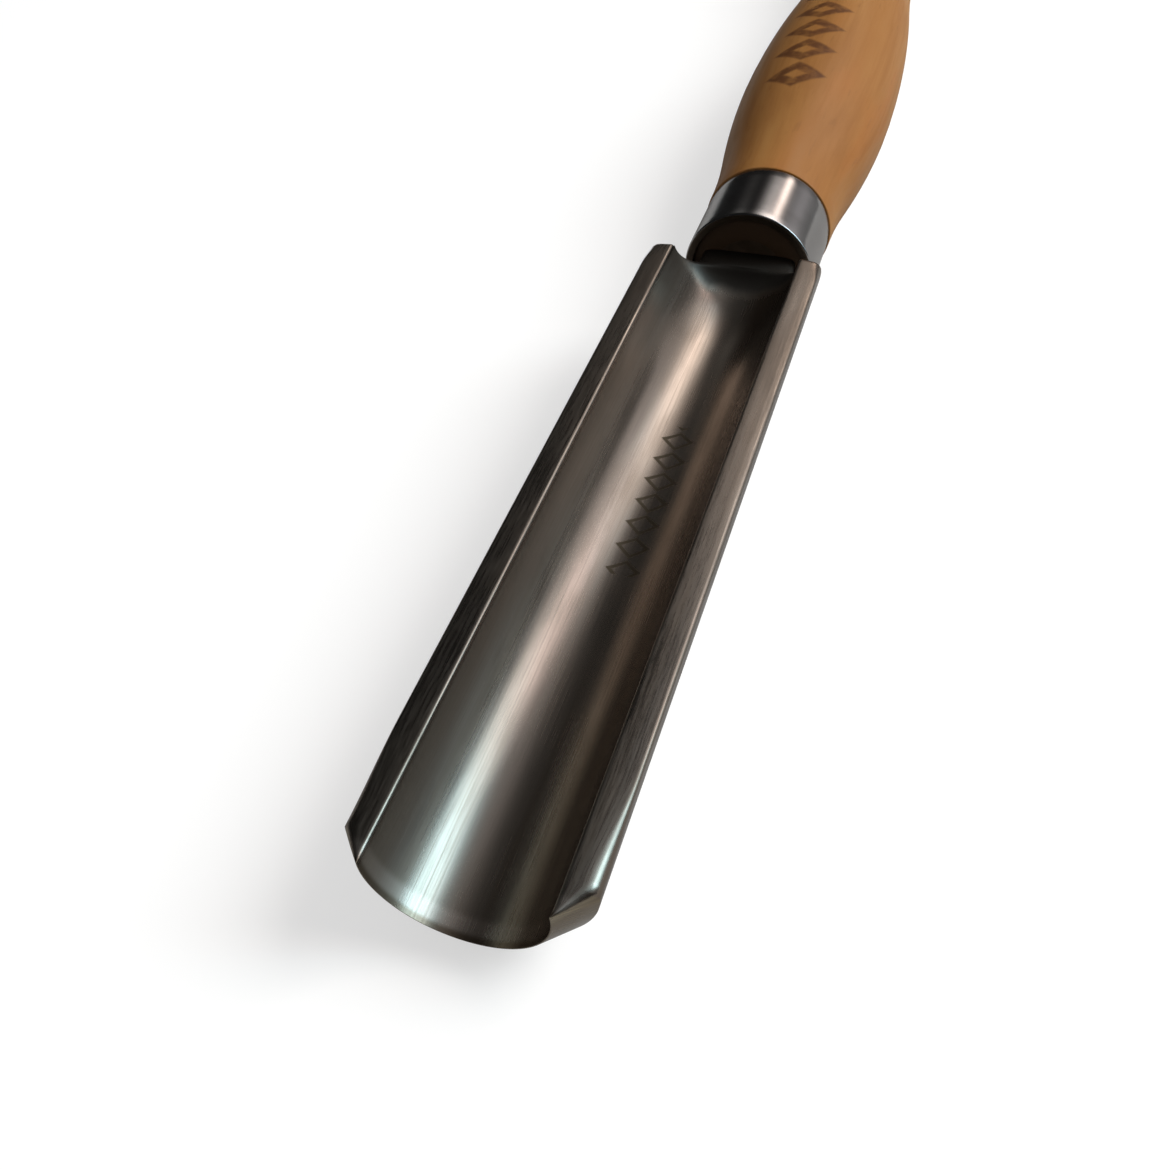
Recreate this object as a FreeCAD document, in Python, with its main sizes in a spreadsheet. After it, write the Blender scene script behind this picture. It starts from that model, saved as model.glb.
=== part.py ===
"""Large hand gouge: channel blade with a flat neck and tang, steel ferrule, turned wooden handle.

The tool lies along Y with its hollow facing +Z: butt at the origin, cutting edge towards -Y.
Every sub-part is drawn in a bench frame whose origin is the centre of the ferrule's mouth, blade
towards -Y and handle towards +Y. Its Placement then moves it so that the butt is the origin.
"""
import FreeCAD, Part
import os
import re
import Sketcher

DIMENSIONS = {
    # Handle: stations are measured back from the ferrule's mouth
    "handle_length": 300.0,
    "wood_setback": 0.8,           # the end grain sits this far inside the ferrule
    "collar_radius": 12.95,        # wood just behind the ferrule
    "bulge_station": 72.0,
    "bulge_radius": 17.1,
    "waist_station": 165.0,
    "waist_radius": 10.8,
    "swell_station": 245.0,
    "swell_radius": 15.2,
    "flare_share": 0.33,           # share of each S-shaped stretch before its bend changes side
    "taper_share": 0.55,
    "grip_share": 0.45,
    "butt_end_radius": 11.6,
    "butt_rounding": 7.0,
    # Ferrule
    "ferrule_length": 17.5,
    "ferrule_radius": 12.7,
    "ferrule_wall": 1.5,
    "ferrule_rounding": 0.45,
    # Blade: stations are measured forward from the ferrule's mouth
    "edge_station": 144.7,
    "wing_station": 11.0,          # where the two side walls start to run down to the shoulder
    "ramp_station": 12.6,          # foot of the ramp that closes the channel
    "axis_height": 10.85,          # the channel's own centre line above the handle's axis
    "channel_radius": 11.7,
    "blade_radius": 16.0,
    "ridge_height": 11.75,         # inner edge of each land
    "land_height": 11.4,           # outer edge of each land
    "bevel_angle": 42.0,
    "edge_thickness": 0.15,
    "cutter_overrun": 2.0,         # how far a cutting shape reaches past the metal
    # Shoulder, neck and tang
    "shoulder_station": 4.2,       # step from the shoulder to the neck
    "shoulder_width": 24.4,
    "neck_width": 18.4,
    "neck_thickness": 8.0,
    "tang_root_width": 11.0,
    "tang_root_thickness": 7.2,
    "tang_end_station": 76.0,
    "tang_end_width": 6.0,
    "tang_end_thickness": 4.4,
    # Bore in the handle
    "bore_radius": 6.75,
    "bore_depth": 80.0,
    "drill_point": 4.0,
}
FRAME_ORIGIN = -1                  # the geometry number that stands for a sketch's own axes
START, END, CENTRE = 1, 2, 3       # the point numbers of a sketched line or arc
NEAR = 0.01                        # two sizes this close count as the same

# Formulas that more than one sub-part uses
ZERO = "0 * handle_length"
TENON_RADIUS = "ferrule_radius - ferrule_wall"
CHANNEL_FLOOR = "(axis_height - channel_radius)"
LAND_HALF_WIDTH = "sqrt(blade_radius^2 - (land_height - axis_height)^2)"
BEVEL_SETBACK = "(blade_radius - channel_radius - edge_thickness) / tan(bevel_angle)"
NECK_TOP = "(neck_thickness / 2)"
RAMP_RISE = "(neck_thickness / 2 - axis_height + channel_radius)"
RAMP_RUN = "(ramp_station - shoulder_station)"

doc = FreeCAD.newDocument("gouge")
sheet = doc.addObject("Spreadsheet::Sheet", "sizes")


def fill_sheet():
    """One row for each driving dimension: its name, and its value under the same alias."""
    for row, (alias, size) in enumerate(DIMENSIONS.items(), start=1):
        sheet.set(f"A{row}", alias)
        sheet.set(f"B{row}", str(size))
        sheet.setAlias(f"B{row}", alias)
    doc.recompute()


def linked(formula):
    """The formula with each dimension's name, which always has an underscore, tied to its cell."""
    return re.sub(r"[a-z]+(_[a-z]+)+", r"sizes.\g<0>", formula)


def value(formula):
    """What the formula comes to with the sheet's present sizes."""
    return float(sheet.evalExpression(linked(formula)))


def bind(thing, prop, formula):
    """Tie one property of an object to the sheet."""
    thing.setExpression(prop, linked(formula))


def place(part, label):
    """Name a finished sub-part, and move it from the bench frame so that the butt is the origin."""
    part.Label = label
    bind(part, "Placement.Base.y", "-handle_length")
    return part


def new_sketch(body, name, plane, offset=None):
    """A sketch on one of the body's own origin planes, set off along the plane's normal."""
    sketch = body.newObject("Sketcher::SketchObject", name)
    sketch.AttachmentSupport = [(next(o for o in body.Origin.OriginFeatures if o.Role == plane), "")]
    sketch.MapMode = "FlatFace"
    if offset:
        bind(sketch, "AttachmentOffset.Base.z", offset)
    return sketch


def pin(sketch, geometry, point, axis, formula):
    """Hold one coordinate of a sketched point at a formula of the sheet."""
    number = sketch.addConstraint(Sketcher.Constraint(
        "Distance" + axis, FRAME_ORIGIN, START, geometry, point, value(formula)))
    sketch.renameConstraint(number, f"{axis}{geometry}_{point}".replace("-", "m"))
    bind(sketch, f"Constraints[{number}]", formula)


def outline(sketch, corners):
    """Draw a closed outline through the corners.

    A corner is (x, y), or (x, y, centre_y) where an arc about a centre at that height leads on to
    the next corner.
    """
    places = [FreeCAD.Vector(value(c[0]), value(c[1]), 0) for c in corners]
    first = len(sketch.Geometry)
    joints = []
    for number, corner in enumerate(corners):
        here = places[number]
        there = places[(number + 1) % len(corners)]
        if len(corner) == 2:
            sketch.addGeometry(Part.LineSegment(here, there))
            joints.append((START, END))
            continue
        centre = arc_centre(here, there, value(corner[2]))
        forward = (here - centre).cross(there - centre).z > 0
        begin, finish = (here, there) if forward else (there, here)
        circle = Part.Circle(centre, FreeCAD.Vector(0, 0, 1), (here - centre).Length)
        arc = Part.ArcOfCircle(circle, circle.parameter(begin), circle.parameter(finish))
        sketch.addGeometry(arc)
        joints.append((START, END) if forward else (END, START))
    for number, corner in enumerate(corners):
        geometry = first + number
        following = (number + 1) % len(corners)
        sketch.addConstraint(Sketcher.Constraint(
            "Coincident", geometry, joints[number][1], first + following, joints[following][0]))
        pin(sketch, geometry, joints[number][0], "X", corner[0])
        pin(sketch, geometry, joints[number][0], "Y", corner[1])
        if len(corner) > 2:
            pin(sketch, geometry, CENTRE, "Y", corner[2])


def arc_centre(here, there, height):
    """The point at this height that is as far from one place as from the other."""
    middle = (here + there) / 2
    span = there - here
    return FreeCAD.Vector(middle.x - (height - middle.y) * span.y / span.x, height, 0)


def rectangle(sketch, width, thickness):
    """A rectangle centred on the sketch's origin."""
    half_width = f"({width}) / 2"
    half_thickness = f"({thickness}) / 2"
    outline(sketch, [
        ("-" + half_width, "-" + half_thickness),
        (half_width, "-" + half_thickness),
        (half_width, half_thickness),
        ("-" + half_width, half_thickness),
    ])


def pad(body, name, sketch, length):
    """Extrude a sketch along its normal."""
    feature = body.newObject("PartDesign::Pad", name)
    feature.Profile = sketch
    bind(feature, "Length", length)
    return feature


def turn(body, kind, name, sketch, axis):
    """Revolve a sketch by a full turn: a Revolution adds and a Groove cuts."""
    feature = body.newObject("PartDesign::" + kind, name)
    feature.Profile = sketch
    feature.ReferenceAxis = (sketch, [axis])
    feature.Angle = 360
    return feature


def loft(body, name, first, last):
    """A straight taper from one sketch to another."""
    feature = body.newObject("PartDesign::AdditiveLoft", name)
    feature.Profile = first
    feature.Sections = [last]
    feature.Ruled = True
    return feature


def fillet(body, name, base, is_wanted, radius):
    """Round every edge of the base feature that the test picks."""
    doc.recompute()
    edges = [f"Edge{n}" for n, edge in enumerate(base.Shape.Edges, start=1) if is_wanted(edge)]
    feature = body.newObject("PartDesign::Fillet", name)
    feature.Base = (base, edges)
    bind(feature, "Radius", radius)
    return feature


def circle_at(station, radius):
    """A test for a circular edge around Y at this bench station and radius."""
    def is_wanted(edge):
        if not isinstance(edge.Curve, Part.Circle):
            return False
        right_size = abs(edge.Curve.Radius - value(radius)) < NEAR
        return right_size and abs(edge.Curve.Center.y - value(station)) < NEAR
    return is_wanted


def stretch(start, end, share):
    """Corners of an S-shaped stretch between two (radius, station) places of the handle.

    The stretch is two arcs that both run parallel to the axis at their outer ends, and meet on
    the straight line between the two places, at the given share of the way.
    """
    middle = [f"({a}) + {share} * (({b}) - ({a}))" for a, b in zip(start, end)]
    return [(start[0], start[1], start[1]), (middle[0], middle[1], end[1])]


def make_handle():
    """Turned handle, with a tenon for the ferrule and a drilled bore for the tang."""
    body = doc.addObject("PartDesign::Body", "handle")
    collar = ("collar_radius", "ferrule_length")
    bulge = ("bulge_radius", "bulge_station")
    waist = ("waist_radius", "waist_station")
    swell = ("swell_radius", "swell_station")
    sketch = new_sketch(body, "handle_profile", "XY_Plane")
    outline(sketch, [
        ("bore_radius", "wood_setback"),
        (TENON_RADIUS, "wood_setback"),
        (TENON_RADIUS, "ferrule_length"),
        *stretch(collar, bulge, "flare_share"),
        *stretch(bulge, waist, "taper_share"),
        *stretch(waist, swell, "grip_share"),
        (swell[0], swell[1], swell[1]),
        ("butt_end_radius", "handle_length"),
        (ZERO, "handle_length"),
        (ZERO, "bore_depth + drill_point"),
        ("bore_radius", "bore_depth"),
    ])
    turned = turn(body, "Revolution", "turned_wood", sketch, "V_Axis")
    butt_edge = circle_at("handle_length", "butt_end_radius")
    fillet(body, "rounded_butt", turned, butt_edge, "butt_rounding")
    return place(body, "handle")


def make_ferrule():
    """Steel ring pressed over the handle's tenon."""
    body = doc.addObject("PartDesign::Body", "ferrule")
    sketch = new_sketch(body, "ferrule_profile", "XY_Plane")
    outline(sketch, [
        (TENON_RADIUS, ZERO),
        ("ferrule_radius", ZERO),
        ("ferrule_radius", "ferrule_length"),
        (TENON_RADIUS, "ferrule_length"),
    ])
    ring = turn(body, "Revolution", "ring", sketch, "V_Axis")
    fillet(body, "rounded_mouth", ring, circle_at(ZERO, "ferrule_radius"), "ferrule_rounding")
    return place(body, "ferrule")


def make_blank():
    """The forging before its channel is milled: bar, bevel, shoulder, neck and tang."""
    body = doc.addObject("PartDesign::Body", "blade_blank")
    bar = new_sketch(body, "bar_section", "XZ_Plane", "wing_station")
    outline(bar, [
        ("-channel_radius", "ridge_height"),
        ("-" + LAND_HALF_WIDTH, "land_height", "axis_height"),
        (ZERO, "axis_height - blade_radius", "axis_height"),
        (LAND_HALF_WIDTH, "land_height"),
        ("channel_radius", "ridge_height"),
    ])
    pad(body, "bar", bar, "edge_station - wing_station")
    add_bevel(body)

    shoulder = new_sketch(body, "shoulder_section", "XZ_Plane", "wing_station")
    diagonal = "blade_radius / sqrt(2)"
    outline(shoulder, [
        ("-channel_radius", "ridge_height"),
        ("-" + LAND_HALF_WIDTH, "land_height", "axis_height"),
        ("-" + diagonal, "axis_height - " + diagonal, "axis_height"),
        (diagonal, "axis_height - " + diagonal, "axis_height"),
        (LAND_HALF_WIDTH, "land_height"),
        ("channel_radius", "ridge_height"),
    ])
    shoulder_end = new_sketch(body, "shoulder_end", "XZ_Plane", "shoulder_station")
    outline(shoulder_end, [
        ("-neck_width / 2", NECK_TOP),
        ("-shoulder_width / 2", NECK_TOP),
        ("-shoulder_width / 2", "-" + NECK_TOP),
        ("shoulder_width / 2", "-" + NECK_TOP),
        ("shoulder_width / 2", NECK_TOP),
        ("neck_width / 2", NECK_TOP),
    ])
    loft(body, "shoulder", shoulder, shoulder_end)

    neck_front = new_sketch(body, "neck_front", "XZ_Plane", "shoulder_station")
    rectangle(neck_front, "neck_width", "neck_thickness")
    neck = pad(body, "neck", neck_front, "shoulder_station + wood_setback")
    neck.Reversed = True
    tang_root = new_sketch(body, "tang_root", "XZ_Plane", "-wood_setback")
    rectangle(tang_root, "tang_root_width", "tang_root_thickness")
    tang_end = new_sketch(body, "tang_end", "XZ_Plane", "-tang_end_station")
    rectangle(tang_end, "tang_end_width", "tang_end_thickness")
    loft(body, "tang", tang_root, tang_end)
    return body


def add_bevel(body):
    """Grind the outside of the bar to the cutting edge, around the channel's own centre line."""
    edge_height = "axis_height - channel_radius - edge_thickness"
    heel_height = "axis_height - blade_radius"
    heel_station = "-edge_station + " + BEVEL_SETBACK
    bevel = new_sketch(body, "bevel_profile", "YZ_Plane")
    outline(bevel, [
        ("-edge_station", edge_height),
        (heel_station, heel_height),
        (heel_station, heel_height + " - cutter_overrun"),
        ("-edge_station - cutter_overrun", heel_height + " - cutter_overrun"),
        ("-edge_station - cutter_overrun", edge_height),
    ])
    ends = [FreeCAD.Vector(value(x), value("axis_height"), 0) for x in ("-edge_station", ZERO)]
    centre_line = bevel.addGeometry(Part.LineSegment(*ends), True)
    pin(bevel, centre_line, START, "X", "-edge_station")
    pin(bevel, centre_line, START, "Y", "axis_height")
    pin(bevel, centre_line, END, "X", ZERO)
    pin(bevel, centre_line, END, "Y", "axis_height")
    turn(body, "Groove", "bevel", bevel, "Axis0")


def make_cutter():
    """The space inside the channel: a U-shaped trough whose rear end ramps up to the neck."""
    body = doc.addObject("PartDesign::Body", "channel_cutter")
    section = new_sketch(body, "channel_section", "XZ_Plane")
    above = "ridge_height + cutter_overrun"
    outline(section, [
        ("-channel_radius", above),
        ("-channel_radius", "axis_height", "axis_height"),
        (ZERO, CHANNEL_FLOOR, "axis_height"),
        ("channel_radius", "axis_height"),
        ("channel_radius", above),
    ])
    pad(body, "trough", section, "edge_station + cutter_overrun")

    wall = new_sketch(body, "closing_wall", "YZ_Plane")
    ramp_radius = f"({RAMP_RUN}^2 + {RAMP_RISE}^2) / (2 * {RAMP_RISE})"
    below = CHANNEL_FLOOR + " - cutter_overrun"
    outline(wall, [
        ("-ramp_station", CHANNEL_FLOOR, CHANNEL_FLOOR + " + " + ramp_radius),
        ("-shoulder_station", NECK_TOP),
        (ZERO, NECK_TOP),
        (ZERO, below),
        ("-ramp_station", below),
    ])
    ramp = body.newObject("PartDesign::Pocket", "ramp")
    ramp.Profile = wall
    ramp.Midplane = True
    bind(ramp, "Length", "2 * (channel_radius + cutter_overrun)")
    return body


def make_blade(blank):
    """The forging with its channel milled out."""
    blade = doc.addObject("Part::Cut", "blade")
    blade.Base = blank
    blade.Tool = make_cutter()
    return place(blade, "blade")


def make_bedding(blank):
    """Hardened resin that fills the handle's bore around the tang."""
    fill = doc.addObject("PartDesign::Body", "bore_fill")
    sketch = new_sketch(fill, "bore_profile", "XY_Plane")
    outline(sketch, [
        (ZERO, "wood_setback"),
        ("bore_radius", "wood_setback"),
        ("bore_radius", "bore_depth"),
        (ZERO, "bore_depth + drill_point"),
    ])
    turn(fill, "Revolution", "filled_bore", sketch, "V_Axis")
    bedding = doc.addObject("Part::Cut", "tang_bedding")
    bedding.Base = fill
    bedding.Tool = blank
    return place(bedding, "tang_bedding")


def check(parts):
    """Stop if any object of the document failed, or a sub-part has no sound solid."""
    failed = [o.Label for o in doc.Objects if {"Invalid", "Error"} & set(o.State)]
    unsound = [p.Label for p in parts if p.Shape.isNull() or not p.Shape.isValid() or not p.Shape.Solids]
    if failed or unsound:
        raise RuntimeError(f"failed objects {failed}, unsound sub-parts {unsound}")


fill_sheet()
blade_blank = make_blank()
sub_parts = [make_blade(blade_blank), make_bedding(blade_blank), make_ferrule(), make_handle()]
doc.recompute()
check(sub_parts)
os.makedirs("parts", exist_ok=True)
for sub_part in sub_parts:
    sub_part.Shape.exportStep(f"parts/{sub_part.Label}.step")
    print(sub_part.Label, round(sub_part.Shape.Volume), "mm3")
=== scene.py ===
"""Looks for the hand gouge: brushed channel blade, turned ferrule and varnished wooden handle.

The blade, ferrule and handle are built in mesh code, and the resin is the CAD's own solid. All are
on the CAD frame: metres, the hollow facing +Z, the butt at the origin and the cutting edge towards
-Y. Sizes are read from the CAD nodes' own boxes and meshes.
"""
import math

import bmesh
import bpy
import numpy as np
from mathutils import Matrix, Vector


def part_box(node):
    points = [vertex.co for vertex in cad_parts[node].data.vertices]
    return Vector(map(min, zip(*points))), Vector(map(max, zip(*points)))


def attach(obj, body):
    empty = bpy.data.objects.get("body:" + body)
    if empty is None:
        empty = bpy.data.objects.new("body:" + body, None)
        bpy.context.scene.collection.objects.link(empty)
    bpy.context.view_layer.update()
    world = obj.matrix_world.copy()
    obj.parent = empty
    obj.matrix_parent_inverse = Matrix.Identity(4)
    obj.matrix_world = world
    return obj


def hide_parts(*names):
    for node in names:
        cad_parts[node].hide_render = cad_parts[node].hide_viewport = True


MM = 0.001
HAIR = 0.02 * MM                    # two CAD points closer than this count as level
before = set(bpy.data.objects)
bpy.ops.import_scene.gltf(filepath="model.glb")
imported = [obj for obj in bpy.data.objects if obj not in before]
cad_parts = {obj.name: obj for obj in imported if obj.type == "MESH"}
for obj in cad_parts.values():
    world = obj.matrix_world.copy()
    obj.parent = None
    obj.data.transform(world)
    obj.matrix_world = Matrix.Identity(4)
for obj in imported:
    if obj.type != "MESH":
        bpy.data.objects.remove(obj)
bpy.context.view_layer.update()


# ---------------------------------------------------------------- sizes, read from the CAD frame

def points(node):
    """Vertices of a CAD node, one row of x, y, z for each."""
    return np.array([vertex.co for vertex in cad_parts[node].data.vertices], float)


def around(rows, height=0.0):
    """Distance of each point from the line along Y at this height."""
    return np.hypot(rows[:, 0], rows[:, 2] - height)


BLADE = points("blade")
TIP = BLADE[:, 1].min()
TANG_END = BLADE[:, 1].max()
MOUTH, FERRULE_END = (corner.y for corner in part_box("ferrule"))
WOOD_FACE, BUTT = (corner.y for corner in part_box("handle"))

OUTER_RADIUS = BLADE[:, 0].max()
AXIS_Z = BLADE[:, 2].min() + OUTER_RADIUS
RIDGE_Z = BLADE[:, 2].max()
CHANNEL_RADIUS = np.abs(BLADE[BLADE[:, 2] > RIDGE_Z - HAIR][:, 0]).min()
FLOOR_Z = AXIS_Z - CHANNEL_RADIUS
SKIN = BLADE[np.abs(around(BLADE, AXIS_Z) - OUTER_RADIUS) < HAIR]
HEEL, WING_END = SKIN[:, 1].min(), SKIN[:, 1].max()
LAND_Z = SKIN[:, 2].max()
LAND_X = math.sqrt(OUTER_RADIUS ** 2 - (LAND_Z - AXIS_Z) ** 2)
LAND_FALL = (RIDGE_Z - LAND_Z) / (LAND_X - CHANNEL_RADIUS)
EDGE_RADIUS = around(BLADE[BLADE[:, 1] < TIP + HAIR], AXIS_Z).max()

NECK_END = BLADE[np.abs(BLADE[:, 1] - WOOD_FACE) < HAIR]
NECK_HALF = NECK_END.max(axis=0)[[0, 2]]
TANG_ROOT = NECK_END[np.abs(NECK_END[:, 0]) < NECK_HALF[0] - MM]
TANG_ROOT_HALF = TANG_ROOT.max(axis=0)[[0, 2]]
TANG_END_HALF = BLADE[BLADE[:, 1] > TANG_END - HAIR].max(axis=0)[[0, 2]]
SHOULDER = BLADE[(BLADE[:, 0] > NECK_HALF[0] + MM) & (BLADE[:, 1] < MOUTH)]
SHOULDER_END = SHOULDER[:, 1].max()
SHOULDER_HALF = SHOULDER[SHOULDER[:, 1] > SHOULDER_END - HAIR].max(axis=0)[[0, 2]]
NECK_TOP = NECK_HALF[1]
FLOOR = BLADE[(around(BLADE, AXIS_Z) < CHANNEL_RADIUS + HAIR) & (BLADE[:, 2] < FLOOR_Z + HAIR)]
RAMP_FOOT = FLOOR[:, 1].max()
LIFT_LENGTH = 11 * MM               # the floor lifts gently before it ramps up
RAMP_START = RAMP_FOOT - LIFT_LENGTH

# Softening that the machined CAD shapes leave out
RIDGE_EASE = 0.6 * MM
CORNER_EASE = 0.55 * MM
WING_CORNER_EASE = 1.9 * MM         # the outer corner of a land where its wing ends
WORN_EASE = 1.9 * MM                # the outer corner of a land just behind the bevel
WORN_LENGTH = 16 * MM
RIM_EASE = 1.2 * MM                 # where the ramp meets the flat top of the neck
RAMP_LIFT = 1.9 * MM                # what the gentle lift adds by the top of the ramp
RAMP_SWEEP = 9                      # how late the ramp turns up: 2 is an even bend
WING_HOLLOW = 1.35                  # how hollow the run-down of each wing is: 1 is straight
WING_SOFTNESS = 0.16                # how gently the run-down starts, as a share of its drop
STEP_LENGTH = 0.5 * MM              # the step from the shoulder to the neck
SQUARENESS = 7.0                    # how square the shoulder, neck and tang are: 2 is an ellipse
CREASE = math.radians(38)           # edges that turn by more than this stay sharp


# ---------------------------------------------------------------- mesh helpers

def smooth(share):
    """S-shaped easing from 0 to 1."""
    share = min(max(share, 0.0), 1.0)
    return share * share * (3 - 2 * share)


def soft_max(a, b, width):
    """The larger of two numbers, with the corner between them rounded over the width."""
    if width <= 0:
        return max(a, b)
    near = max(width - abs(a - b), 0.0) / width
    return max(a, b) + near * near * width / 4


def bend(start, corner, end, steps):
    """Points of a rounded corner, both ends included."""
    shares = [n / steps for n in range(steps + 1)]
    return [tuple((1 - t) ** 2 * s + 2 * t * (1 - t) * c + t * t * e
                  for s, c, e in zip(start, corner, end)) for t in shares]


def skin_mesh(name, loops):
    """A closed mesh through a row of loops that all have the same number of points.

    The first loop is a thin U shape. The UV map holds the distance round the middle loop and the
    place along Y, in metres.
    """
    mesh = bpy.data.meshes.new(name)
    work = bmesh.new()
    uv = work.loops.layers.uv.new("surface")
    rows = [[work.verts.new(place) for place in loop] for loop in loops]
    count = len(loops[0])
    girth = [0.0]
    measured = loops[len(loops) // 2]
    for here, there in zip(measured, measured[1:] + measured[:1]):
        girth.append(girth[-1] + (Vector(there) - Vector(here)).length)
    for row in range(len(rows) - 1):
        for n in range(count):
            after = (n + 1) % count
            corners = [(row, n, n), (row, after, n + 1), (row + 1, after, n + 1), (row + 1, n, n)]
            face = work.faces.new([rows[r][v] for r, v, _ in corners])
            for loop, (r, v, step) in zip(face.loops, corners):
                loop[uv].uv = (girth[step], loops[r][v][1])
    work.faces.new(rows[-1])
    zip_loop(work, rows[0])
    for face in work.faces:
        face.smooth = True
    bmesh.ops.remove_doubles(work, verts=work.verts, dist=HAIR / 10)
    bmesh.ops.recalc_face_normals(work, faces=work.faces)
    work.to_mesh(mesh)
    work.free()
    piece = bpy.data.objects.new(name, mesh)
    bpy.context.scene.collection.objects.link(piece)
    return piece


def zip_loop(work, row):
    """Close a thin U-shaped loop by joining its inner side to its outer side."""
    half = len(row) // 2
    right = row[:half + 1]
    left = [row[0]] + row[:half - 1:-1]
    for side in (right, left):
        last = len(side) - 1
        for n in range(half // 2):
            if last - n - 1 > n + 1:
                work.faces.new([side[n], side[n + 1], side[last - n - 1], side[last - n]])
            elif last - n - 1 == n + 1:
                work.faces.new([side[n], side[n + 1], side[last - n]])


def sharpen(piece):
    """Mark the creases of a smoothly shaded piece as sharp edges."""
    mesh = piece.data
    work = bmesh.new()
    work.from_mesh(mesh)
    for edge in work.edges:
        if len(edge.link_faces) == 2:
            edge.smooth = edge.calc_face_angle(0.0) < CREASE
    work.to_mesh(mesh)
    work.free()


# ---------------------------------------------------------------- blade

ARC_STEPS = 60                      # facets in half of the channel's arc
WALL_STEPS = 3
LAND_STEPS = 3
EASE_STEPS = 4
RIDGE_SHARE = 0.4                   # the most of a land's width that its ridge's easing takes
CORNER_SHARE = 0.45                 # and the most that its outer corner's takes
SIDE_TURN = math.radians(-45)       # the outside above this angle becomes the shoulder's sides
SIDE_TOP = 0.55                     # where those sides start, as a share of the half height

# How many sections each stretch of the blade has
BEVEL_SECTIONS = 10
WORN_SECTIONS = 14
BAR_SECTIONS = 40
REAR_SECTIONS = 84
STEP_SECTIONS = 5
NECK_SECTIONS = 3
TANG_SECTIONS = 8


def land_corner(outer):
    """Where the sloping land meets the outside, for an outside of this radius."""
    top = RIDGE_Z - AXIS_Z + LAND_FALL * CHANNEL_RADIUS
    lean = 1 + LAND_FALL ** 2
    x = (top * LAND_FALL + math.sqrt(lean * outer ** 2 - top ** 2)) / lean
    return x, AXIS_Z + top - LAND_FALL * x


def right_half(outer, corner_ease=CORNER_EASE):
    """Right half of the U section: up the channel, over the land, and down round the outside.

    Returns its (x, z) points, how many of them lie inside the channel, and where the round
    outside starts.
    """
    quarter = math.pi / 2
    angles = [-quarter + quarter * n / ARC_STEPS for n in range(ARC_STEPS + 1)]
    chain = [(CHANNEL_RADIUS * math.cos(a), AXIS_Z + CHANNEL_RADIUS * math.sin(a)) for a in angles]
    corner_x, corner_z = land_corner(outer)
    width = corner_x - CHANNEL_RADIUS
    ridge_ease = min(RIDGE_EASE, RIDGE_SHARE * width)
    corner_ease = min(corner_ease, CORNER_SHARE * width)
    wall_top = RIDGE_Z - ridge_ease
    for n in range(1, WALL_STEPS):
        chain.append((CHANNEL_RADIUS, AXIS_Z + (wall_top - AXIS_Z) * n / WALL_STEPS))
    inside = len(chain)
    land_start = (CHANNEL_RADIUS + ridge_ease, RIDGE_Z - LAND_FALL * ridge_ease)
    land_end = (corner_x - corner_ease, corner_z + LAND_FALL * corner_ease)
    chain += bend((CHANNEL_RADIUS, wall_top), (CHANNEL_RADIUS, RIDGE_Z), land_start, EASE_STEPS)
    for n in range(1, LAND_STEPS):
        share = n / LAND_STEPS
        chain.append(tuple(s + (e - s) * share for s, e in zip(land_start, land_end)))
    turn = math.atan2(corner_z - AXIS_Z, corner_x) - corner_ease / outer
    arc_start = (outer * math.cos(turn), AXIS_Z + outer * math.sin(turn))
    chain += bend(land_end, (corner_x, corner_z), arc_start, EASE_STEPS)
    outside = len(chain) - 1
    steps = ARC_STEPS + WALL_STEPS
    for n in range(1, steps + 1):
        angle = turn + (-quarter - turn) * n / steps
        chain.append((outer * math.cos(angle), AXIS_Z + outer * math.sin(angle)))
    return chain, inside, outside


def mirrored(half):
    """The whole loop from its right half, whose two ends lie on the centre line."""
    return half + [(-x, z) for x, z in reversed(half[1:-1])]


def bar_section(outer, corner_ease=CORNER_EASE):
    """The whole U section with the outside at this radius."""
    return mirrored(right_half(outer, corner_ease)[0])


def worn_ease(share):
    """How far a land's outer corner is worn round, from the heel to the end of the wear."""
    return WORN_EASE + (CORNER_EASE - WORN_EASE) * smooth(share)


def rounded_block(half_size, x, z):
    """The point of a rounded rectangle's edge that lies on the ray from its middle through x, z."""
    turn = math.atan2(z, x)
    reach = (abs(math.cos(turn) / half_size[0]) ** SQUARENESS
             + abs(math.sin(turn) / half_size[1]) ** SQUARENESS) ** (-1 / SQUARENESS)
    return reach * math.cos(turn), reach * math.sin(turn)


def shoulder_half(half, inside, outside):
    """Where each point of the U section's right half ends up at the rear of the shoulder."""
    width, height = SHOULDER_HALF
    start_angle = math.atan2(half[outside][1] - AXIS_Z, half[outside][0])
    placed = []
    for n, (x, z) in enumerate(half):
        if n < outside:
            beyond = max(x - CHANNEL_RADIUS, 0.0) / (LAND_X - CHANNEL_RADIUS)
            x = min(x, CHANNEL_RADIUS) + beyond * (width - CHANNEL_RADIUS)
            drop = max(1 - (x / width) ** SQUARENESS, 0.0) ** (1 / SQUARENESS)
            placed.append((x, height * drop))
            continue
        angle = math.atan2(z - AXIS_Z, x)
        if angle > SIDE_TURN:
            down = (start_angle - angle) / (start_angle - SIDE_TURN)
            side = height * (SIDE_TOP - (1 + SIDE_TOP) * down)
            placed.append(rounded_block(SHOULDER_HALF, width, side))
        else:
            inward = (angle + math.pi / 2) / (SIDE_TURN + math.pi / 2)
            placed.append(rounded_block(SHOULDER_HALF, width * max(inward, 0.0), -height))
    return placed


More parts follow.
